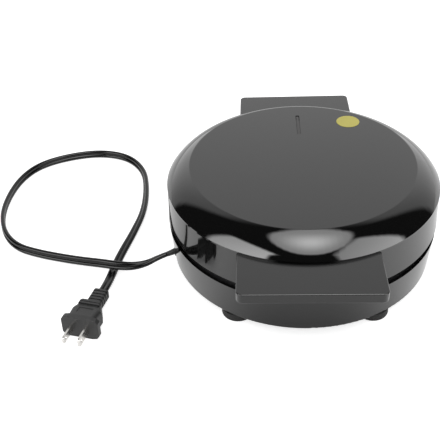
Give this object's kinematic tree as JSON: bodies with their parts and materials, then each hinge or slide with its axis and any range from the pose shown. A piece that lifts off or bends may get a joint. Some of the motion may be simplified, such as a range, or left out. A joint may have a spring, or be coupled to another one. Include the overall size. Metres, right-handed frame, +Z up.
{
  "type": "cupcake maker",
  "caption": "Round countertop cupcake maker with a glossy domed lid on a rear hinge, flat front handle, cup plate inside, rubber feet and a corded plug",
  "frame": {"origin": "on the table under the middle of the body, without the cord", "axes": "+Z up, -Y to the front handle, +Y to the hinge, +X to the right seen from the front"},
  "size_m": [0.3974, 0.301, 0.09],
  "materials": {
    "dome": "glossy black moulding",
    "band": "satin dark grey moulding",
    "base_plastic": "satin dark grey moulding",
    "handle_plastic": "satin dark grey moulding",
    "rubber": "soft black",
    "plate_casting": "dark non-stick coating on cast aluminium",
    "steel": "plain steel",
    "bright_metal": "bright nickel plating",
    "reflector_metal": "bright rolled sheet",
    "element_sheath": "dull heat-tinted sheath",
    "ceramic": "off-white glazed ceramic",
    "lens_plastic": "clear pale moulding",
    "lamp_glass": "clear glass",
    "wire_sleeve": "off-white woven glass sleeve",
    "cord_vinyl": "black flexible vinyl",
    "sticker": "plain yellow film, nothing printed"
  },
  "bodies": {
    "base": {"base_shell": "base_plastic", "lower_plate": "plate_casting", "plate_screws": "steel", "lower_reflector": "reflector_metal", "lower_reflector_screws": "steel", "lower_element": "element_sheath", "thermostat": "ceramic", "thermal_fuse": "wire_sleeve", "fuse_clip": "steel", "terminal_block": "ceramic", "base_wires": "wire_sleeve", "hinge_ear_left": "base_plastic", "hinge_ear_right": "base_plastic", "ear_screws": "steel", "hinge_cable_base": "wire_sleeve", "strain_relief": "cord_vinyl", "power_cord": "cord_vinyl", "plug_body": "cord_vinyl", "plug_blade_narrow": "bright_metal", "plug_blade_wide": "bright_metal", "foot_rear_right": "rubber", "foot_rear_left": "rubber", "foot_front_left": "rubber", "foot_front_right": "rubber"},
    "lid": {"hinge_cable_lid": "wire_sleeve", "lid_frame": "band", "lid_dome": "dome", "dome_screws": "steel", "front_handle": "handle_plastic", "handle_screws": "steel", "hinge_cover": "handle_plastic", "cover_screws": "steel", "hinge_arm_left": "handle_plastic", "hinge_arm_right": "handle_plastic", "arm_screws": "steel", "hinge_pin_left": "bright_metal", "hinge_pin_right": "bright_metal", "upper_plate": "plate_casting", "lid_plate_screws": "steel", "upper_element": "element_sheath", "upper_reflector": "reflector_metal", "upper_reflector_screws": "steel", "indicator_lens": "lens_plastic", "lamp_holder": "steel", "indicator_lamp": "lamp_glass", "lid_wires": "wire_sleeve", "blank_sticker": "sticker"}
  },
  "joints": [
    {"name": "lid_hinge", "type": "hinge", "parent": "base", "child": "lid", "pos_m": [0, 0.1273, 0.041], "axis": [-1, 0, 0], "range_deg": [0, 100]}
  ]
}
